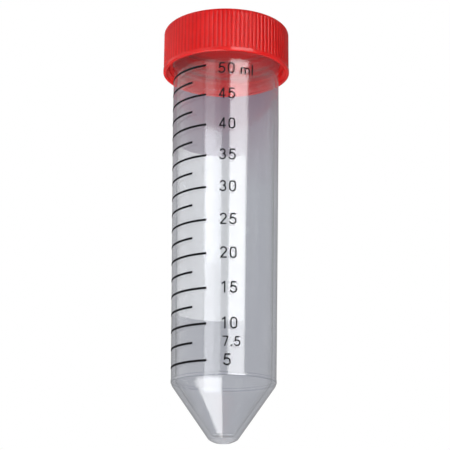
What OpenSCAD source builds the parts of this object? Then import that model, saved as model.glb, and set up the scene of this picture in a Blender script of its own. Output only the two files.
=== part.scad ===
// Conical-bottom 50 ml screw-cap tube: a clear moulded tube, its printing, a sealing disc and a ribbed cap.
// The origin is the lowest point of the tip, on the axis. +Z runs up the axis, and the graduations face -Y.

/* [Tube] */
// Outer radius of the straight band below the cap
band_r = 14.7; // [14.6:0.05:14.9]
// Height above the tip at which the tapered wall becomes the straight band
band_z = 88; // [86:0.5:95]
// Outer radius at the corner between the cone and the wall
shoulder_r = 13.92; // [13.8:0.01:14.1]
// Height of that corner above the tip
shoulder_z = 15.3; // [15:0.1:16]
// Half angle of the cone, from the axis
cone_angle = 35.1; // [34.4:0.1:35.8]
// Radius at which the cone ends in the domed tip
tip_r = 3.85; // [3.6:0.05:4]
// Height of the rim above the tip
rim_z = 113; // [112.6:0.1:113.4]
// Height at which the neck starts, inside the skirt of the cap
neck_z = 103.8; // [103.5:0.1:104.2]
// Outer radius of the neck between its thread ridges
neck_r = 14.4; // [14.3:0.05:14.5]

/* [Bore] */
// Bore radius at the corner between the cone and the wall
bore_r = 12.83; // [12.7:0.01:12.9]
// Bore radius gained for each millimetre of height
bore_draft = 0.0114; // [0.01:0.0002:0.013]
// Wall thickness of the cone, square to its surface
cone_t = 1.25; // [1.1:0.05:1.4]
// Thickness of the floor at the tip
floor_t = 1.8; // [1.5:0.1:2.2]

/* [Cap] */
// Height of the lower edge of the skirt above the tip
skirt_z = 103; // [102.7:0.1:103.2]
// Height of the cap top above the tip
top_z = 115.6; // [115.2:0.1:116]
// Inner radius of the skirt between its thread ridges
skirt_r = 16; // [15.9:0.05:16.1]
// Outer radius over the ribs
cap_r = 17.55; // [17.4:0.05:17.8]
// Depth of the valleys between the ribs
rib_depth = 0.16; // [0.1:0.02:0.3]
// Number of ribs
rib_count = 90; // [60:6:120]
// Height of the plain band at the foot of the ribs
foot_h = 1.1; // [0.8:0.1:2]
// Thickness of the sealing disc
seal_t = 0.8; // [0.6:0.1:1]

/* [Thread] */
// Rise of the cap in one full turn
thread_lead = 4; // [3.6:0.1:4.4]
// Number of starts
thread_starts = 2; // [1:1:2]
// Height of each ridge above its wall
ridge_h = 0.9; // [0.8:0.05:1]

/* [Printing] */
// Thickness of the printed ink
ink_t = 0.06; // [0.05:0.01:0.1]
// Gap under the ink, so that no rounding error makes it cut into the wall
ink_gap = 0.002; // [0.001:0.001:0.005]
// Height of the numerals
digit_h = 3.1; // [2.6:0.1:3.4]
// Thickness of the graduation lines
line_w = 0.6; // [0.3:0.05:0.7]
// Height of the foot of the writing panel above the tip
panel_z = 35.3; // [30:0.1:40]
// Height of the writing panel
panel_h = 48.4; // [40:0.1:50]

/* [Hidden] */
$fn = 96;

front = -90;                // azimuth of the middle of the graduated side
arc_steps = 5;              // straight steps in each rounded corner of an outline
slope = tan(cone_angle);
rim_edge_r = 0.3;
shoulder_edge_r = 2.5;

// The tip is a shallow dome with the moulding gate, a round dimple, in its middle. It stands on the dimple's rim.
gate_r = 1.7;
gate_h = 0.35;
tip_z = shoulder_z - (shoulder_r - tip_r) / slope;
dome_z = (pow(tip_r, 2) + pow(tip_z, 2) - pow(gate_r, 2)) / (2 * tip_z);
dome_r = norm([gate_r, dome_z]);
dome_steps = 8;
dome_from = asin(gate_r / dome_r);
dome_to = asin(tip_r / dome_r);
dome = [for (i = [0:dome_steps])
    let (a = dome_from + (dome_to - dome_from) * i / dome_steps)
    [dome_r * sin(a), dome_z - dome_r * cos(a), 0]];

// The bore: where its cone starts and ends, and where its draft stops.
function cone_bore_r(z) = shoulder_r + slope * (z - shoulder_z) - cone_t / cos(cone_angle);
bore_z = shoulder_z + (bore_r - cone_bore_r(shoulder_z)) / slope;
floor_r = cone_bore_r(floor_t);
cone_volume = PI / 3 * (bore_z - floor_t) * (pow(floor_r, 2) + floor_r * bore_r + pow(bore_r, 2));
mouth_z = volume_z(50) + 1;
mouth_r = bore_r + bore_draft * (mouth_z - bore_z);

// Height of the liquid level for a volume in millilitres, above the cone.
function volume_z(ml) =
    let (r = pow(pow(bore_r, 3) + 3 * bore_draft * (1000 * ml - cone_volume) / PI, 1 / 3))
    bore_z + (r - bore_r) / bore_draft;

// Outer radius of the wall above the cone.
function wall_r(z) =
    z < band_z ? shoulder_r + (band_r - shoulder_r) * (z - shoulder_z) / (band_z - shoulder_z) : band_r;

// The arc that rounds corner b of the path a, b, c.
function unit(v) = v / norm(v);
function corner_arc(a, b, c, r) =
    let (
        u = unit(a - b),
        v = unit(c - b),
        half = acos(u * v) / 2,
        centre = b + unit(u + v) * r / sin(half),
        p = b + u * r / tan(half) - centre,
        q = b + v * r / tan(half) - centre,
        start = atan2(p.y, p.x),
        sweep = (atan2(q.y, q.x) - start + 540) % 360 - 180
    )
    [for (i = [0:arc_steps]) centre + r * [cos(start + sweep * i / arc_steps), sin(start + sweep * i / arc_steps)]];

// An outline from [x, y, corner radius] rows, where a radius of 0 leaves the corner sharp.
function xy(p) = [p.x, p.y];
function rounded(path) =
    let (n = len(path))
    [for (i = [0:n - 1])
        each path[i][2] > 0
            ? corner_arc(xy(path[(i + n - 1) % n]), xy(path[i]), xy(path[(i + 1) % n]), path[i][2])
            : [xy(path[i])]];

// One helical ridge. It lies between radius ra, where it is wide, and radius rb, where it is narrow, and
// its run-in and run-out sink back to ra. Both threads rise anticlockwise seen from above.
ridge_steps = 36;
root_w = 1.25;
crest_w = 0.4;
sunk = 0.3;                 // depth of the ridge's root inside its wall
neck_thread_z = 105.6;      // where the neck's thread starts
skirt_thread_z = 105;       // where the skirt's thread starts
function ridge_fade(t) = max(0.35, min(1, t * 9, (1 - t) * 9));
function ridge_section(ra, rb, z, fade) =
    let (
        tip = ra + (rb - ra) * fade,
        low = min(ra, tip),
        high = max(ra, tip),
        low_w = (ra < tip ? root_w : crest_w) / 2,
        high_w = (ra < tip ? crest_w : root_w) / 2
    )
    [[low, z - low_w], [high, z - high_w], [high, z + high_w], [low, z + low_w]];

module ridge(ra, rb, z0, z1) {
    turn = 360 * (z1 - z0) / thread_lead;
    n = ceil(ridge_steps * turn / 360);
    points = [for (i = [0:n])
        let (a = turn * i / n)
        for (p = ridge_section(ra, rb, z0 + (z1 - z0) * i / n, ridge_fade(i / n)))
            [p.x * cos(a), p.x * sin(a), p.y]];
    sides = [for (i = [0:n - 1], j = [0:3])
        let (a = 4 * i + j, b = 4 * i + (j + 1) % 4)
        each [[a, b, b + 4], [a, b + 4, a + 4]]];
    ends = [[0, 3, 2], [0, 2, 1], [4 * n, 4 * n + 1, 4 * n + 2], [4 * n, 4 * n + 2, 4 * n + 3]];
    polyhedron(points, concat(sides, ends));
}

// All starts of one thread, from height z0 to z1, with its first start at azimuth a.
module thread(ra, rb, z0, z1, a) {
    for (i = [0:thread_starts - 1])
        rotate([0, 0, a + 360 * i / thread_starts])
            ridge(ra, rb, z0, z1);
}

// ---- Tube ----

module tube_body() {
    color([0.74, 0.76, 0.80, 0.45])
    union() {
        rotate_extrude()
            polygon(rounded([
                [0, gate_h, 0],
                [gate_r, gate_h, 0],
                each dome,
                [shoulder_r, shoulder_z, shoulder_edge_r],
                [band_r, band_z, 0],
                [band_r, neck_z, 0],
                [neck_r, neck_z + band_r - neck_r, 0],
                [neck_r, rim_z, rim_edge_r],
                [mouth_r, rim_z, rim_edge_r],
                [mouth_r, mouth_z, 0],
                [bore_r, bore_z, 1],
                [floor_r, floor_t, 1.2],
                [0, floor_t, 0]
            ]));
        thread(neck_r - sunk, neck_r + ridge_h, neck_thread_z, neck_thread_z + 5.8, front);
    }
}

// ---- Printing ----

// A band of ink on the wall between two heights and two azimuths.
module ink_band(z0, z1, a0, a1) {
    rotate([0, 0, a0])
        rotate_extrude(angle = a1 - a0)
            polygon([
                [wall_r(z0) + ink_gap, z0],
                [wall_r(z0) + ink_t, z0],
                [wall_r(z1) + ink_t, z1],
                [wall_r(z1) + ink_gap, z1]
            ]);
}

// The whole scale is printed with a slight lean: each lower line ends a little further right.
mark_left = front - 88;
function long_mark_right(ml) = front - 21.6 + 0.066 * (50 - ml);
function short_mark_right(ml) = front - 38.3 + 0.066 * (50 - ml);

module graduation_marks() {
    color([0.08, 0.08, 0.09]) {
        for (ml = [5:5:50])
            ink_band(volume_z(ml) - line_w / 2, volume_z(ml) + line_w / 2, mark_left, long_mark_right(ml));
        for (ml = [7.5:5:47.5])
            ink_band(volume_z(ml) - line_w / 2, volume_z(ml) + line_w / 2, mark_left, short_mark_right(ml));
    }
}

// Numerals one unit high, drawn with a pen of this width.
pen = 0.125;
glyph_w = 0.6;
glyph_step = 0.82;
bowl_r = (glyph_w - pen) / 2;

module stroke(x0, y0, x1, y1) {
    translate([x0, y0])
        rotate(atan2(y1 - y0, x1 - x0))
            translate([0, -pen / 2])
                square([norm([x1 - x0, y1 - y0]), pen]);
}

module curve(x, y, r, a0, a1) {
    translate([x, y])
        intersection() {
            difference() {
                circle(r + pen / 2);
                circle(r - pen / 2);
            }
            polygon([[0, 0], for (i = [0:8]) 2 * r * [cos(a0 + (a1 - a0) * i / 8), sin(a0 + (a1 - a0) * i / 8)]]);
        }
}

module zero() {
    curve(glyph_w / 2, 1 - glyph_w / 2, bowl_r, 0, 180);
    curve(glyph_w / 2, glyph_w / 2, bowl_r, 180, 360);
    stroke(pen / 2, glyph_w / 2, pen / 2, 1 - glyph_w / 2);
    stroke(glyph_w - pen / 2, glyph_w / 2, glyph_w - pen / 2, 1 - glyph_w / 2);
}

module one() {
    stroke(0.38, 0, 0.38, 1);
    stroke(0.12, 0.75, 0.37, 0.93);
}

module two() {
    curve(glyph_w / 2, 1 - glyph_w / 2, bowl_r, -38, 172);
    stroke(0.49, 0.56, 0.1, 0.09);
    stroke(0.03, pen / 2, 0.58, pen / 2);
}

module three() {
    curve(0.29, 0.73, 0.205, -85, 165);
    curve(0.29, 0.305, 0.24, -165, 88);
}

module four() {
    stroke(0.43, 0, 0.43, 1);
    stroke(0.02, 0.27, 0.6, 0.27);
    stroke(0.06, 0.27, 0.41, 0.94);
}

module five() {
    stroke(0.14, 1 - pen / 2, 0.56, 1 - pen / 2);
    stroke(0.09, 0.46, 0.16, 0.98);
    curve(0.285, 0.335, 0.27, -160, 138);
}

module seven() {
    stroke(0.02, 1 - pen / 2, 0.57, 1 - pen / 2);
    stroke(0.21, 0, 0.53, 0.94);
}

module point() {
    square(pen * 1.1);
}

module letter_m() {
    arch_r = 0.185;
    stem_h = 0.4;
    stroke(pen / 2, 0, pen / 2, stem_h + arch_r);
    for (i = [1:2]) {
        x = pen / 2 + 2 * arch_r * i;
        stroke(x, 0, x, stem_h);
        curve(x - arch_r, stem_h, arch_r, 0, 180);
    }
}

module letter_l() {
    stroke(pen / 2, 0, pen / 2, 1);
}

module glyph(c) {
    if (c == "0") zero();
    if (c == "1") one();
    if (c == "2") two();
    if (c == "3") three();
    if (c == "4") four();
    if (c == "5") five();
    if (c == "7") seven();
    if (c == ".") point();
    if (c == "m") letter_m();
    if (c == "l") letter_l();
}

// How far the pen moves on after a character, in numeral heights.
function advance(c) = c == "." ? 0.33 : c == " " ? 0.31 : c == "m" ? 1.04 : glyph_step;
function pen_x(label, i) = i == 0 ? 0 : pen_x(label, i - 1) + advance(label[i - 1]);

// Prisms that cross the wall in the shape of a label, starting this far right of the front and centred on z.
module label_prisms(label, z, x, h) {
    for (i = [0:len(label) - 1])
        rotate([0, 0, (x + h * pen_x(label, i) + h * glyph_w / 2) / wall_r(z) * 180 / PI])
            translate([-h * glyph_w / 2, 1 - wall_r(z), z - h / 2])
                rotate([90, 0, 0])
                    linear_extrude(2)
                        scale(h)
                            glyph(label[i]);
}

module ink_skin() {
    rotate_extrude()
        polygon([
            [shoulder_r + ink_gap, shoulder_z],
            [shoulder_r + ink_t, shoulder_z],
            [band_r + ink_t, band_z],
            [band_r + ink_t, neck_z],
            [band_r + ink_gap, neck_z],
            [band_r + ink_gap, band_z]
        ]);
}

// Left edge of a numeral, right of the front, and how far its middle is above its line.
function label_x(ml) = -2.11 + 0.0283 * (50 - ml);
label_rise = 0.15;
small_digit = 0.85;

module graduation_numerals() {
    color([0.08, 0.08, 0.09])
    intersection() {
        union() {
            for (ml = [10:5:45])
                label_prisms(str(ml), volume_z(ml) + label_rise, label_x(ml), digit_h);
            label_prisms("50 ml", volume_z(50) - 1, label_x(50), digit_h);
            label_prisms("7.5", volume_z(7.5) + label_rise, label_x(7.5) + 0.5, digit_h * small_digit);
            label_prisms("5", volume_z(5) + label_rise, label_x(5) + 0.7, digit_h);
        }
        ink_skin();
    }
}

panel_left = 67;
panel_right = 154;

module writing_panel() {
    color([0.93, 0.94, 0.95, 0.7])
        ink_band(panel_z, panel_z + panel_h, panel_left, panel_right);
}

// ---- Closure ----

seal_clear = 0.1;

module cap_seal() {
    color([0.72, 0.10, 0.10])
        translate([0, 0, rim_z])
            cylinder(r = skirt_r - seal_clear, h = seal_t);
}

top_edge_r = 1.2;
crown_r = cap_r + 0.03;     // the plain edge above the ribs, just proud of them
crown_z = top_z - top_edge_r - 0.1;
foot_r = cap_r + 0.1;
foot_edge_r = 0.2;
lip_r = skirt_r + 0.7;       // the mouth of the skirt is wider, to lead it onto the neck
rib_root_r = cap_r - rib_depth;
core_r = rib_root_r - 0.15;
rib_pitch = 360 / rib_count;
rib_z = skirt_z + foot_h - 2 * foot_edge_r;  // the ribs start inside the foot band
rib_end_z = crown_z + 0.3;  // and end inside the crown

// The ring of ribs, each flat at its tip and in its valley.
module ribs() {
    section = [[-0.38, rib_root_r], [-0.14, cap_r], [0.14, cap_r], [0.38, rib_root_r]];
    translate([0, 0, rib_z])
        linear_extrude(rib_end_z - rib_z)
            difference() {
                polygon([for (i = [0:rib_count - 1], p = section)
                    p[1] * [cos(rib_pitch * (i + p[0])), sin(rib_pitch * (i + p[0]))]]);
                circle(core_r - 0.3);
            }
}

module screw_cap() {
    color([0.84, 0.09, 0.09])
    union() {
        rotate_extrude()
            polygon(rounded([
                [0, rim_z + seal_t, 0],
                [skirt_r, rim_z + seal_t, 0],
                [skirt_r, skirt_z + 1.2, 0],
                [lip_r, skirt_z + 0.5, 0],
                [lip_r, skirt_z, 0.2],
                [foot_r, skirt_z, 0.45],
                [foot_r, skirt_z + foot_h, foot_edge_r],
                [core_r, skirt_z + foot_h, 0],
                [core_r, crown_z - 0.3, 0],
                [crown_r, crown_z, 0],
                [crown_r, top_z, top_edge_r],
                [0, top_z, 0]
            ]));
        ribs();
        thread(
            skirt_r + sunk,
            skirt_r - ridge_h,
            skirt_thread_z,
            skirt_thread_z + 5,
            front + 360 / thread_starts / 2 - 360 * (neck_thread_z - skirt_thread_z) / thread_lead
        );
    }
}

tube_body();
graduation_marks();
graduation_numerals();
writing_panel();
cap_seal();
screw_cap();
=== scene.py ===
"""Looks for the conical screw-cap tube: detailed meshes, materials, studio and camera around the CAD frame.

Lengths are in millimetres until a mesh is made, which is in metres. The axis of the tube is Z, its tip is at
the origin and its graduations face -Y. Angles around the axis are in radians from +X.
"""

import math

import bpy
import numpy as np
from mathutils import Matrix, Vector


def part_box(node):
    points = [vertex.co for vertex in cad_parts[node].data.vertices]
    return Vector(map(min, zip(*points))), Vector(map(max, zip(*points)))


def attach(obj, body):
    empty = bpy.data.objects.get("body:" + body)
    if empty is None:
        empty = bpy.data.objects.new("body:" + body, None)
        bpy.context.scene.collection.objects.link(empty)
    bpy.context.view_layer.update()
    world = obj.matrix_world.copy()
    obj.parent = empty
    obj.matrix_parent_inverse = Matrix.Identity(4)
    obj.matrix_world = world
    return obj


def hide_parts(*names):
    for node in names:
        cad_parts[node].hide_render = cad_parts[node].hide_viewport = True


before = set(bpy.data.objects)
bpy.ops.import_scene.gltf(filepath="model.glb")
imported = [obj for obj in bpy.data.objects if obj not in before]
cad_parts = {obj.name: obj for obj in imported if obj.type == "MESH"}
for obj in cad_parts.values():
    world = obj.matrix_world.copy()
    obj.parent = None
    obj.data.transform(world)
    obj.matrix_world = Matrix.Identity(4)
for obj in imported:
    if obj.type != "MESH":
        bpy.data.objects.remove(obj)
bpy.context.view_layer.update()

MM = 0.001
TAU = 2 * math.pi


def box_mm(node):
    """The lowest and highest corners of a CAD node, in millimetres."""
    low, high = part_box(node)
    return low / MM, high / MM


# ---------------------------------------------------------------- sizes

cap_low, cap_high = box_mm("screw_cap")
seal_low, seal_high = box_mm("cap_seal")
panel_low, panel_high = box_mm("writing_panel")

RIM_Z = box_mm("tube_body")[1].z
SKIRT_Z = cap_low.z
TOP_Z = cap_high.z

# Outside of the tube, as in the CAD model
CONE_SLOPE = math.tan(math.radians(35.1))
SHOULDER_R, SHOULDER_Z, SHOULDER_EDGE = 13.92, 15.3, 2.5
BAND_R, BAND_Z = 14.7, 88.0
NECK_R, NECK_Z = 14.4, 103.8
TIP_R = 3.85
TIP_Z = SHOULDER_Z - (SHOULDER_R - TIP_R) / CONE_SLOPE
GATE_R, GATE_H = 1.7, 0.35

# Mould line, a low band round the wall just above the shoulder
LINE_Z, LINE_H = 16.15, 0.05
LINE_HALF, LINE_FLANK = 0.39, 0.08

# Inside of the tube, as in the CAD model
CONE_WALL = 1.25
FLOOR_Z = 1.8
BORE_R, BORE_DRAFT = 12.83, 0.0114
MOUTH_Z = 101.2
BORE_Z = SHOULDER_Z + (BORE_R - SHOULDER_R + CONE_WALL / math.cos(math.atan(CONE_SLOPE))) / CONE_SLOPE
FLOOR_R = BORE_R - CONE_SLOPE * (BORE_Z - FLOOR_Z)
MOUTH_R = BORE_R + BORE_DRAFT * (MOUTH_Z - BORE_Z)

# Thread, shared by the neck and the skirt. A ridge fades out over a ninth of its length at each end.
LEAD, STARTS, RIDGE_H = 4.0, 2, 0.9
ROOT_W, CREST_W = 1.0, 0.4
RIDGE_ENDS = 9
NECK_THREAD_Z = (105.6, 111.4)
SKIRT_THREAD_Z = (105.0, 110.0)
FRONT = -math.pi / 2
SKIRT_THREAD_PHASE = FRONT + math.pi / STARTS - TAU * (NECK_THREAD_Z[0] - SKIRT_THREAD_Z[0]) / LEAD

# Cap. The ribs stop being straight at RIBS_TOP, and fade out over RIB_FADE, ending RIB_END below the top.
FOOT_R = cap_high.x
CAP_R = FOOT_R - 0.1
SKIRT_R = seal_high.x + 0.1
LIP_R, LIP_H = SKIRT_R + 0.7, 0.5
LIP_TOP = SKIRT_Z + 1.2
FOOT_TOP = SKIRT_Z + 1.1
TOP_EDGE = 1.2
CROWN_Z = TOP_Z - TOP_EDGE - 0.1
RIBS, RIB_DEPTH = 90, 0.16
RIB_ROOT_R = CAP_R - RIB_DEPTH
RIBS_TOP = CROWN_Z - 0.5
RIB_FADE, RIB_END = 0.35, 0.25
DIMPLE_R, DIMPLE_DEPTH = 1.5, 0.11

# Two radii or heights that differ by less than this are taken as the same
SAME = 0.01


# ---------------------------------------------------------------- meshes

# Edges that turn by more degrees than this are drawn sharp
SHARP_ANGLE = 40
# The vertex attribute that materials read: what it holds is up to each piece
DETAIL = "detail"


def unit(v):
    return v / np.linalg.norm(v)


def corner_arc(a, b, c, radius, steps):
    """Points along the arc that rounds corner b of the path a, b, c, and a support point outside each end."""
    u, v = unit(a - b), unit(c - b)
    half = math.acos(float(np.clip(u @ v, -1, 1))) / 2
    reach = radius / math.tan(half)
    centre = b + unit(u + v) * radius / math.sin(half)
    p, q = b + u * reach - centre, b + v * reach - centre
    start = math.atan2(p[1], p[0])
    sweep = (math.atan2(q[1], q[0]) - start + 3 * math.pi) % TAU - math.pi
    arc = [
        centre + radius * np.array([math.cos(t), math.sin(t)])
        for t in np.linspace(start, start + sweep, steps + 1)
    ]
    support = min(0.08, 0.2 * radius)
    return [arc[0] + u * support, *arc, arc[-1] + v * support]


def rounded(path, steps):
    """An open outline from (radius, height, corner radius) rows, where a corner radius of 0 stays sharp."""
    points = [np.array(row[:2], float) for row in path]
    out = []
    for i, row in enumerate(path):
        inner = 0 < i < len(path) - 1
        if inner and row[2] > 0:
            out += corner_arc(points[i - 1], points[i], points[i + 1], row[2], steps)
        else:
            out.append(points[i])
    return [(float(r), float(z)) for r, z in out]


def between(z_from, z_to, radius, step):
    """Extra outline points up or down a straight wall, for a thread to be cut in."""
    count = max(2, round(abs(z_to - z_from) / step))
    return [(radius, z) for z in np.linspace(z_from, z_to, count + 1)]


def ridge_height(theta, z, z_range, phase):
    """Height of the helical ridges at one level, for an array of angles."""
    z0, z1 = z_range
    turn = TAU * (z1 - z0) / LEAD
    height = np.zeros_like(theta)
    for start in range(STARTS):
        along = (theta - phase - TAU * start / STARTS) % TAU
        while along.min() <= turn:
            t = along / turn
            off = np.abs(z - (z0 + LEAD * along / TAU))
            flank = np.clip((ROOT_W / 2 - off) / ((ROOT_W - CREST_W) / 2), 0, 1)
            fade = np.clip(np.minimum(t, 1 - t) * RIDGE_ENDS, 0, 1)
            height = np.maximum(height, flank * flank * (3 - 2 * flank) * fade)
            along = along + TAU
    return height * RIDGE_H


def add_mesh(name, verts, faces, material, smooth=True):
    mesh = bpy.data.meshes.new(name)
    mesh.from_pydata(np.asarray(verts) * MM, [], faces)
    mesh.polygons.foreach_set("use_smooth", [smooth] * len(mesh.polygons))
    mesh.materials.append(material)
    mesh.update()
    mesh.set_sharp_from_angle(angle=math.radians(SHARP_ANGLE))
    piece = bpy.data.objects.new(name, mesh)
    bpy.context.scene.collection.objects.link(piece)
    return piece


def lathe(name, outline, segments, material, shape=None, detail=None):
    """A closed solid of revolution. The outline starts and ends on the axis, and runs with the solid on its
    left, seen with +R to the right. shape(theta, r, z) may change a ring's radius round the axis, and
    detail(relief, r, z) may give its values of DETAIL, from its change of radius and its place."""
    theta = np.arange(segments) * TAU / segments
    verts, rings, details = [], [], []
    for r, z in outline:
        on_axis = r < 1e-9
        angles = theta[:1] if on_axis else theta
        count = len(angles)
        radii = np.full(count, float(r)) if on_axis or shape is None else shape(theta, r, z)
        rings.append(range(len(verts), len(verts) + count))
        verts += zip(radii * np.cos(angles), radii * np.sin(angles), [z] * count)
        details += [0.0] * count if detail is None else detail(radii - r, r, z).tolist()
    faces = []
    for lower, upper in zip(rings, rings[1:]):
        for i in range(segments):
            j = (i + 1) % segments
            if len(lower) == 1:
                faces.append((lower[0], upper[j], upper[i]))
            elif len(upper) == 1:
                faces.append((lower[i], lower[j], upper[0]))
            else:
                faces.append((lower[i], lower[j], upper[j], upper[i]))
    piece = add_mesh(name, verts, faces, material)
    piece.data.attributes.new(DETAIL, "FLOAT", "POINT").data.foreach_set("value", details)
    return piece


# ---------------------------------------------------------------- materials


class Nodes:
    """A short way to write a node tree."""

    def __init__(self, tree):
        self.tree = tree
        tree.nodes.clear()

    def add(self, kind, inputs=None, **settings):
        node = self.tree.nodes.new("ShaderNode" + kind)
        for key, value in settings.items():
            setattr(node, key, value)
        for key, value in (inputs or {}).items():
            socket = node.inputs[key]
            if isinstance(value, bpy.types.NodeSocket):
                self.tree.links.new(value, socket)
            else:
                socket.default_value = value
        return node

    def maths(self, operation, a, b):
        return self.add("Math", {0: a, 1: b}, operation=operation).outputs[0]

    def mix(self, share, a, b):
        """A mix of two shaders, with b's share."""
        return self.add("MixShader", {0: share, 1: a, 2: b}).outputs[0]

    def ramp(self, value, low, high, to_low=0.0, to_high=1.0):
        inputs = {"Value": value, "From Min": low, "From Max": high, "To Min": to_low, "To Max": to_high}
        return self.add("MapRange", inputs).outputs[0]

    def colour(self, share, low, high):
        """A colour between two, by share."""
        node = self.add("ValToRGB", {"Fac": share})
        node.color_ramp.elements[0].color = (*low, 1)
        node.color_ramp.elements[1].color = (*high, 1)
        return node.outputs[0]

    def place(self):
        """The place on the object, in metres."""
        return self.add("TexCoord").outputs["Object"]

    def noise(self, scale, detail, stretch=(1, 1, 1)):
        """Noise over the object's own coordinates, with scale in features per metre."""
        mapped = self.add("Mapping", {"Vector": self.place(), "Scale": stretch}).outputs[0]
        return self.add("TexNoise", {"Vector": mapped, "Scale": scale, "Detail": detail}).outputs["Fac"]

    def bump(self, height, strength, distance):
        return self.add("Bump", {"Height": height, "Strength": strength, "Distance": distance}).outputs[0]

    def read_detail(self):
        """The piece's own DETAIL attribute."""
        return self.add("Attribute", attribute_name=DETAIL).outputs["Fac"]

    def clear(self, colour):
        """Straight through, tinted."""
        return self.add("BsdfTransparent", {"Color": colour}).outputs[0]

    def frosted(self, colour, normal):
        """A thin scattering layer, lit from either side."""
        lit = self.add("BsdfDiffuse", {"Color": (*colour, 1), "Normal": normal}).outputs[0]
        through = self.add("BsdfTranslucent", {"Color": (*colour, 1), "Normal": normal}).outputs[0]
        return self.mix(0.5, lit, through)

    def surface(self, shader):
        self.add("OutputMaterial", {"Surface": shader})

    def principled(self, inputs):
        self.surface(self.add("BsdfPrincipled", inputs).outputs[0])


def new_material(name):
    mat = bpy.data.materials.new(name)
    mat.use_nodes = True
    return mat, Nodes(mat.node_tree)


PLASTIC_IOR = 1.49
# Share of haze in a clear surface: a cloudy wall, more at a grazing angle, and more for each mm of DETAIL
WALL_HAZE = (0.006, 0.011)
GRAZING_HAZE = 0.08
DETAIL_HAZE = 0.24
# Light that spreads inside a red moulding, mostly red
GLOW = {"Subsurface Weight": 1.0, "Subsurface Radius": (1.0, 0.03, 0.03)}


def clear_plastic():
    """Thin clear polypropylene. Each surface passes most light straight on, mirrors its share and adds faint
    haze. DETAIL above 0 is thicker, hazier plastic, and below 0 an edge that turns light aside, drawn as
    painted shade: a darker tint."""
    mat, n = new_material("clear_plastic")
    back = n.add("NewGeometry").outputs["Backfacing"]
    ior = n.ramp(back, 0, 1, PLASTIC_IOR, 1 / PLASTIC_IOR)
    waves = n.noise(60, 2.0, (1, 1, 0.25))
    normal = n.bump(waves, 0.06, 0.0006)
    mirror = n.add("Fresnel", {"IOR": ior, "Normal": normal}).outputs[0]
    cloud = n.noise(220, 3.0, (1, 1, 0.4))
    grazing = n.add("LayerWeight", {"Blend": 0.25}).outputs["Facing"]
    detail = n.read_detail()
    cloudy = n.ramp(cloud, 0.3, 0.7, *WALL_HAZE)
    wall_haze = n.maths("ADD", cloudy, n.maths("MULTIPLY", grazing, GRAZING_HAZE))
    haze_share = n.maths("ADD", wall_haze, n.maths("MULTIPLY", detail, DETAIL_HAZE))
    # At the mould line's edges (DETAIL -1) the tint turns dark grey: painted shade for the light that the
    # edge turns aside
    clear_tint_and_painted_edge_shade = n.colour(n.maths("MULTIPLY", detail, -1.0), (0.970, 0.975, 0.985), (0.50, 0.51, 0.54))
    body = n.mix(haze_share, n.clear(clear_tint_and_painted_edge_shade), n.frosted((0.80, 0.81, 0.84), normal))
    gloss_inputs = {"Color": (1, 1, 1, 1), "Roughness": n.ramp(cloud, 0.3, 0.7, 0.10, 0.14), "Normal": normal}
    gloss = n.add("BsdfGlossy", gloss_inputs).outputs[0]
    n.surface(n.mix(mirror, body, gloss))
    return mat


def red_plastic():
    """Moulded red polyethylene: slightly mottled, with a fine grain, and thin enough to glow a little. The
    foot band is polished, the ribs are duller, and DETAIL darkens the grooves between them as painted shade."""
    mat, n = new_material("red_plastic")
    mottle = n.noise(160, 4.0)
    grain = n.noise(2600, 3.0)
    height = n.add("SeparateXYZ", {0: n.place()}).outputs["Z"]
    ribbed = n.ramp(height, (FOOT_TOP - 0.05) * MM, (FOOT_TOP + 0.05) * MM)
    dull = n.maths("MULTIPLY", ribbed, 0.08)
    colour = n.colour(n.ramp(mottle, 0.3, 0.7), (0.72, 0.012, 0.011), (0.79, 0.016, 0.015))
    # Painted shade: the base colour darkens down to 0.78 in the grooves between the ribs
    painted_groove_shade = n.ramp(n.read_detail(), 0, 1, 1.0, 0.78)
    n.principled({
        "Base Color": n.add("HueSaturation", {"Color": colour, "Value": painted_groove_shade}).outputs[0],
        "Roughness": n.maths("ADD", n.ramp(grain, 0.3, 0.7, 0.10, 0.13), dull),
        "Specular IOR Level": n.ramp(ribbed, 0, 1, 0.36, 0.16),
        "Subsurface Scale": 0.002,
        "Normal": n.bump(grain, 0.08, 0.0002),
        **GLOW,
    })
    return mat


def seal_plastic():
    """Soft red polyethylene of the sealing disc, duller than the cap."""
    mat, n = new_material("seal_plastic")
    grain = n.noise(900, 3.0)
    n.principled({
        "Base Color": (0.72, 0.014, 0.013, 1),
        "Roughness": n.ramp(grain, 0.3, 0.7, 0.45, 0.60),
        "Specular IOR Level": 0.22,
        "Subsurface Scale": 0.003,
        "Normal": n.bump(grain, 0.15, 0.0003),
        **GLOW,
    })
    return mat


def black_ink():
    """Printed black ink, a little uneven in cover and gloss."""
    mat, n = new_material("black_ink")
    cover = n.noise(1500, 3.0)
    n.principled({
        "Base Color": n.colour(n.ramp(cover, 0.35, 0.75), (0.004, 0.004, 0.005), (0.014, 0.014, 0.017)),
        "Roughness": n.ramp(cover, 0.3, 0.7, 0.55, 0.70),
        "Specular IOR Level": 0.1,
        "Normal": n.bump(cover, 0.2, 0.0001),
    })
    return mat


def white_ink():
    """Thin frosted white print that light comes through from both sides, a little uneven in cover."""
    mat, n = new_material("white_ink")
    cover = n.noise(700, 4.0)
    grain = n.noise(5000, 2.0)
    frosted = n.frosted((0.93, 0.93, 0.93), n.bump(grain, 0.3, 0.0001))
    n.surface(n.mix(n.ramp(cover, 0.3, 0.7, 0.30, 0.36), frosted, n.clear((1, 1, 1, 1))))
    return mat


# ---------------------------------------------------------------- tube


def wall_r(z):
    """Outer radius of the tube's wall above the cone."""
    share = np.clip((z - SHOULDER_Z) / (BAND_Z - SHOULDER_Z), 0, 1)
    return SHOULDER_R + (BAND_R - SHOULDER_R) * share


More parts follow.
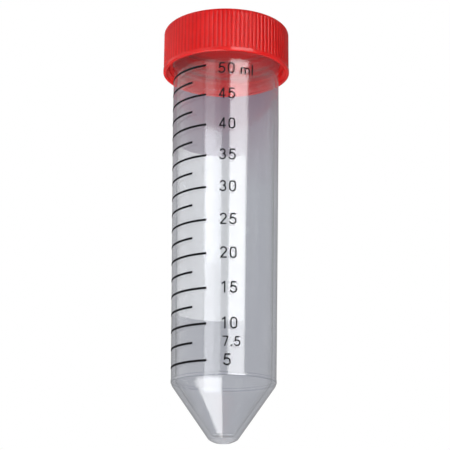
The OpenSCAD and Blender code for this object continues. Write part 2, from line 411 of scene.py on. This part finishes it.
def mould_line():
    """The mould line's rings, up the wall: at each edge its foot, its crest and a ring just inside."""
    r = wall_r(LINE_Z)
    edge = [(r, LINE_HALF + LINE_FLANK), (r + LINE_H, LINE_HALF), (r + LINE_H, LINE_HALF - LINE_FLANK)]
    lower = [(ring_r, LINE_Z - away) for ring_r, away in edge]
    upper = [(ring_r, LINE_Z + away) for ring_r, away in reversed(edge)]
    return lower + upper


def tube_outline():
    """From the middle of the gate, up the outside, over the rim and down the bore to the floor's middle."""
    dome_z = (TIP_R**2 + TIP_Z**2 - GATE_R**2) / (2 * TIP_Z)
    dome_r = math.hypot(GATE_R, dome_z)
    sweep = np.linspace(math.asin(GATE_R / dome_r), math.asin(TIP_R / dome_r), 10)
    dome = [(dome_r * math.sin(a), dome_z - dome_r * math.cos(a)) for a in sweep]
    gate = rounded([(0, GATE_H, 0), (GATE_R, GATE_H, 0.12), (*dome[0], 0)], 3)
    outside = rounded([(*dome[-1], 0), (SHOULDER_R, SHOULDER_Z, SHOULDER_EDGE), (BAND_R, BAND_Z, 0)], 10)
    step_z = NECK_Z + BAND_R - NECK_R
    neck = between(step_z, RIM_Z - 0.45, NECK_R, 0.12)
    rim = rounded([
        (NECK_R, RIM_Z - 0.4, 0),
        (NECK_R, RIM_Z, 0.3),
        (MOUTH_R, RIM_Z, 0.3),
        (MOUTH_R, RIM_Z - 0.4, 0),
    ], 6)
    bore = rounded([
        (MOUTH_R, MOUTH_Z, 0),
        (BORE_R, BORE_Z, 1.0),
        (FLOOR_R, FLOOR_Z, 1.2),
        (0, FLOOR_Z, 0),
    ], 8)
    wall = [*outside[1:-1], *mould_line(), outside[-1], (BAND_R, NECK_Z)]
    return [*gate[:-1], *dome, *wall, *neck, *rim, *bore]


def tube_shape(theta, r, z):
    """Adds the neck's thread to the outer wall."""
    if z < NECK_Z or r < NECK_R - 0.05:
        return np.full_like(theta, r)
    return r + ridge_height(theta, z, NECK_THREAD_Z, FRONT)


def tube_detail(relief, r, z):
    """Thickness beyond the plain wall, at the thread's ridges and the floor of the tip, or -1 at the two
    edges of the mould line, which clear_plastic draws dark as painted shade."""
    if r > SHOULDER_R and abs(abs(z - LINE_Z) - LINE_HALF) < SAME:
        return np.full_like(relief, -1.0)
    floor = 1.3 if z < FLOOR_Z + 0.3 and r < TIP_R else 0.0
    return np.maximum(relief, 0) + floor


def make_tube(mat):
    tube = lathe("tube_shell", tube_outline(), 256, mat, tube_shape, tube_detail)
    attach(tube, "tube")
    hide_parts("tube_body")


def make_panel(mat):
    """The writing panel, a thin patch with rounded corners that follows the back of the wall."""
    gap, thickness, corner = 0.004, 0.03, 1.0
    rows, columns, corner_columns = 24, 72, 7
    z0, z1 = panel_low.z, panel_high.z
    a0 = math.acos(panel_high.x / wall_r(z1))
    a1 = math.acos(panel_low.x / wall_r(z1))
    edge = corner / BAND_R
    quarter = np.linspace(0, math.pi / 2, corner_columns)
    angles = np.concatenate([
        a0 + edge * (1 - np.cos(quarter)),
        np.linspace(a0 + edge, a1 - edge, columns)[1:-1],
        a1 - edge * (1 - np.cos(quarter[::-1])),
    ])
    into_corner = np.clip(1 - np.minimum(angles - a0, a1 - angles) / edge, 0, 1)
    insets = corner * (1 - np.sqrt(1 - into_corner**2))
    verts = []
    for height in (gap, thickness):
        for angle, inset in zip(angles, insets):
            for z in np.linspace(z0 + inset, z1 - inset, rows):
                r = wall_r(z) + height
                verts.append((r * math.cos(angle), r * math.sin(angle), z))

    last_i, last_j = len(angles) - 1, rows - 1

    def at(layer, i, j):
        return (layer * len(angles) + i) * rows + j

    faces = []
    for i in range(last_i):
        for j in range(last_j):
            faces.append((at(1, i, j), at(1, i + 1, j), at(1, i + 1, j + 1), at(1, i, j + 1)))
            faces.append((at(0, i, j), at(0, i, j + 1), at(0, i + 1, j + 1), at(0, i + 1, j)))
    border = [(i, 0) for i in range(last_i)] + [(last_i, j) for j in range(last_j)]
    border += [(i, last_j) for i in range(last_i, 0, -1)] + [(0, j) for j in range(last_j, 0, -1)]
    for here, there in zip(border, border[1:] + border[:1]):
        faces.append((at(0, *here), at(0, *there), at(1, *there), at(1, *here)))
    panel = add_mesh("frosted_panel", verts, faces, mat)
    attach(panel, "tube")
    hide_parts("writing_panel")


# ---------------------------------------------------------------- closure


def rib_height(theta):
    """Height of the ribs round the cap: broad flat crests with a narrow soft groove between each two."""
    return RIB_DEPTH * (1 - np.sin(theta * RIBS / 2) ** 6)


def on_ribs(r, z):
    """Whether a ring of the cap is on the straight ribs."""
    return abs(r - RIB_ROOT_R) < SAME and FOOT_TOP < z < RIBS_TOP


def on_top_edge(r, z):
    """Whether a ring of the cap is on the rounded edge of the top, which the ribs run up."""
    return r > CAP_R - TOP_EDGE and z > RIBS_TOP


def cap_outline():
    """From the ceiling's middle, down the skirt's inside, round its foot, up the outside and over the top."""
    ceiling = seal_high.z
    inside = rounded([(0, ceiling, 0), (SKIRT_R, ceiling, 0.3), (SKIRT_R, ceiling - 1, 0)], 3)
    skirt = between(ceiling - 1.2, LIP_TOP + 0.1, SKIRT_R, 0.16)
    foot = rounded([
        (SKIRT_R, LIP_TOP + 0.05, 0),
        (SKIRT_R, LIP_TOP, 0.03),
        (LIP_R, SKIRT_Z + LIP_H, 0.1),
        (LIP_R, SKIRT_Z, 0.2),
        (FOOT_R, SKIRT_Z, 0.25),
        (FOOT_R, FOOT_TOP, 0.12),
        (RIB_ROOT_R, FOOT_TOP, 0),
    ], 5)
    ribs = [(RIB_ROOT_R, z) for z in (FOOT_TOP + 0.02, FOOT_TOP + 0.15, RIBS_TOP - 0.1)]
    top = rounded([(CAP_R, CROWN_Z - 0.3, 0), (CAP_R, TOP_Z, TOP_EDGE), (DIMPLE_R + 0.7, TOP_Z, 0)], 12)
    floor = TOP_Z - DIMPLE_DEPTH
    edge = [(DIMPLE_R, TOP_Z), (DIMPLE_R - 0.15, TOP_Z - 0.02), (DIMPLE_R - 0.4, floor + 0.01)]
    return [*inside, *skirt, *foot[:-1], *ribs, *top, *edge, (0.5, floor), (0, floor)]


def cap_shape(theta, r, z):
    """Adds the thread inside the skirt and the ribs outside it."""
    if abs(r - SKIRT_R) < SAME and SKIRT_Z + LIP_H < z < seal_low.z:
        return r - ridge_height(theta, z, SKIRT_THREAD_Z, SKIRT_THREAD_PHASE)
    if on_ribs(r, z):
        rise = np.clip((z - FOOT_TOP) / 0.1 + 0.6, 0, 1)
        return r + rib_height(theta) * rise
    if on_top_edge(r, z):
        fade = np.clip((TOP_Z - RIB_END - z) / RIB_FADE, 0, 1)
        return r - (RIB_DEPTH - rib_height(theta)) * fade
    return np.full_like(theta, r)


def cap_detail(relief, r, z):
    """How deep in a groove between two ribs a place on the cap is, from 0 on a crest to 1: the mask of the
    painted groove shade.
    """
    if on_ribs(r, z) and z > FOOT_TOP + 0.1:
        return 1 - relief / RIB_DEPTH
    if on_top_edge(r, z):
        return -relief / RIB_DEPTH
    return np.zeros_like(relief)


def make_cap(mat):
    cap = lathe("cap_shell", cap_outline(), RIBS * 12, mat, cap_shape, cap_detail)
    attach(cap, "cap")
    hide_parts("screw_cap")


def make_seal(mat):
    """The sealing disc, with a shallow ring pressed in where the rim meets it."""
    r, z0, z1 = seal_high.x, seal_low.z, seal_high.z
    outline = rounded([
        (0, z0, 0),
        (MOUTH_R - 1.2, z0, 0.3),
        (MOUTH_R - 0.9, z0 + 0.12, 0.2),
        (MOUTH_R - 0.5, z0, 0.2),
        (r, z0, 0.15),
        (r, z1, 0.15),
        (0, z1, 0),
    ], 4)
    seal = lathe("seal_disc", outline, 128, mat)
    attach(seal, "seal")
    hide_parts("cap_seal")


# ---------------------------------------------------------------- studio


def make_world():
    """A white surround. Clear plastic shows a grey backdrop in its place, which turns darker and redder
    upward between two heights above the horizon, in degrees: painted shade and painted red light from the
    cap, where the tube is seen just under the cap."""
    low, high = 17, 21.5
    world = bpy.data.worlds.new("studio")
    bpy.context.scene.world = world
    world.use_nodes = True
    n = Nodes(world.node_tree)

    def background(colour, strength):
        return n.add("Background", {"Color": colour, "Strength": strength}).outputs[0]

    path = n.add("LightPath").outputs
    upward = n.add("SeparateXYZ", {0: n.add("TexCoord").outputs["Generated"]}).outputs["Z"]
    share = n.ramp(upward, math.sin(math.radians(low)), math.sin(math.radians(high)))
    # Painted shade and red light of the cap: the grey darkens and reddens toward the view just under the cap
    backdrop_with_painted_cap_shade = background(n.colour(share, (0.42, 0.425, 0.455), (0.24, 0.15, 0.205)), 1.0)
    white = (1, 1, 1, 1)
    through = n.maths("GREATER_THAN", path["Transparent Depth"], 0.5)
    shown = n.mix(through, background(white, 1.0), backdrop_with_painted_cap_shade)
    unseen = n.mix(path["Is Glossy Ray"], background(white, 0.32), background(white, 0.26))
    n.add("OutputWorld", {"Surface": n.mix(path["Is Camera Ray"], unseen, shown)})


def make_floor():
    """A plain pale floor, far below the tube, which the camera sees a little brighter than it is lit."""
    mat, n = new_material("floor_paint")
    grain = n.noise(40, 3.0)
    seen = n.add("LightPath").outputs["Is Camera Ray"]
    n.principled({
        "Base Color": (0.62, 0.62, 0.62, 1),
        "Roughness": n.ramp(grain, 0.3, 0.7, 0.7, 0.8),
        "Emission Color": (1, 1, 1, 1),
        "Emission Strength": n.maths("MULTIPLY", seen, 0.5),
    })
    half, z = 3000, -400
    corners = [(-half, -half, z), (half, -half, z), (half, half, z), (-half, half, z)]
    add_mesh("studio_floor", corners, [(0, 1, 2, 3)], mat, smooth=False)


def around(azimuth, height):
    """A place at an azimuth in degrees, to the right of the camera as seen from the tube, and at a height."""
    distance = 600
    a = math.radians(azimuth)
    return (distance * math.sin(a), -distance * math.cos(a), height)


def upright(left, right, low, high):
    """The corners of an upright card between two azimuths and two heights."""
    return [around(left, low), around(right, low), around(right, high), around(left, high)]


def level(left, right, near, far, height):
    """The corners of a level card, between two places across the view and two along it."""
    return [(left, near, height), (right, near, height), (right, far, height), (left, far, height)]


def lit_card(name, corners, radiance):
    """A white card that shows only as a reflection in glossy surfaces."""
    mat, n = new_material(name + "_glow")
    n.surface(n.add("Emission", {"Strength": radiance}).outputs[0])
    card = add_mesh(name, corners, [(0, 1, 2), (0, 2, 3)], mat, smooth=False)
    card.visible_camera = False
    card.visible_diffuse = False


def lamp(name, place, size, radiance):
    """A square soft lamp of this size in millimetres, aimed at the cap, which makes no reflections."""
    light = bpy.data.lights.new(name, "AREA")
    light.size = size * MM
    light.energy = radiance * math.pi * light.size**2
    holder = bpy.data.objects.new(name, light)
    aim = (Vector(place) - Vector((0, 0, (SKIRT_Z + TOP_Z) / 2))).to_track_quat("Z", "Y")
    holder.matrix_world = Matrix.Translation(Vector(place) * MM) @ aim.to_matrix().to_4x4()
    holder.visible_camera = False
    holder.visible_glossy = False
    bpy.context.scene.collection.objects.link(holder)


def make_lights():
    """Cards that the clear walls mirror as upright strips, one below for the cone, and four soft lamps."""
    tapered = [around(-24.5, -20), around(1, -20), around(-22, 560), around(-24.5, 560)]
    lit_card("card_right", upright(9, 49, 40, 560), 5.7)
    lit_card("card_left", upright(-47, -24.5, -20, 560), 1.6)
    lit_card("card_left_inner", tapered, 0.7)
    lit_card("card_far_left", upright(-130, -51, -20, 560), 0.9)
    lit_card("card_below", level(-428, -24, -460, -20, -390), 6.0)
    lamp("key_lamp", around(-10, -180), 300, 10.8)
    lamp("fill_lamp", around(40, 150), 500, 0.5)
    lamp("top_lamp", (0, 0, 700), 500, 1.0)
    lamp("back_lamp", around(-145, 60), 500, 5.6)


def make_camera():
    """Below the tube and in front of it, looking up. The lens is in millimetres, the angles in degrees."""
    place, pitch, roll = (0.02, -357.07, -41.0), 15.664, 0.4641
    camera = bpy.data.cameras.new("camera")
    camera.sensor_width = 36.0
    camera.lens = 108.968
    camera.clip_start = 0.01
    holder = bpy.data.objects.new("camera", camera)
    tilt = Matrix.Rotation(math.radians(90 + pitch), 4, "X") @ Matrix.Rotation(math.radians(roll), 4, "Z")
    holder.matrix_world = Matrix.Translation([c * MM for c in place]) @ tilt
    bpy.context.scene.collection.objects.link(holder)
    bpy.context.scene.camera = holder


# ---------------------------------------------------------------- build

bpy.context.scene.view_settings.view_transform = "Standard"
make_camera()
make_tube(clear_plastic())
make_panel(white_ink())
make_cap(red_plastic())
make_seal(seal_plastic())
ink = black_ink()
for node in ("graduation_marks", "graduation_numerals"):
    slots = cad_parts[node].data.materials
    slots.clear()
    slots.append(ink)
make_world()
make_floor()
make_lights()
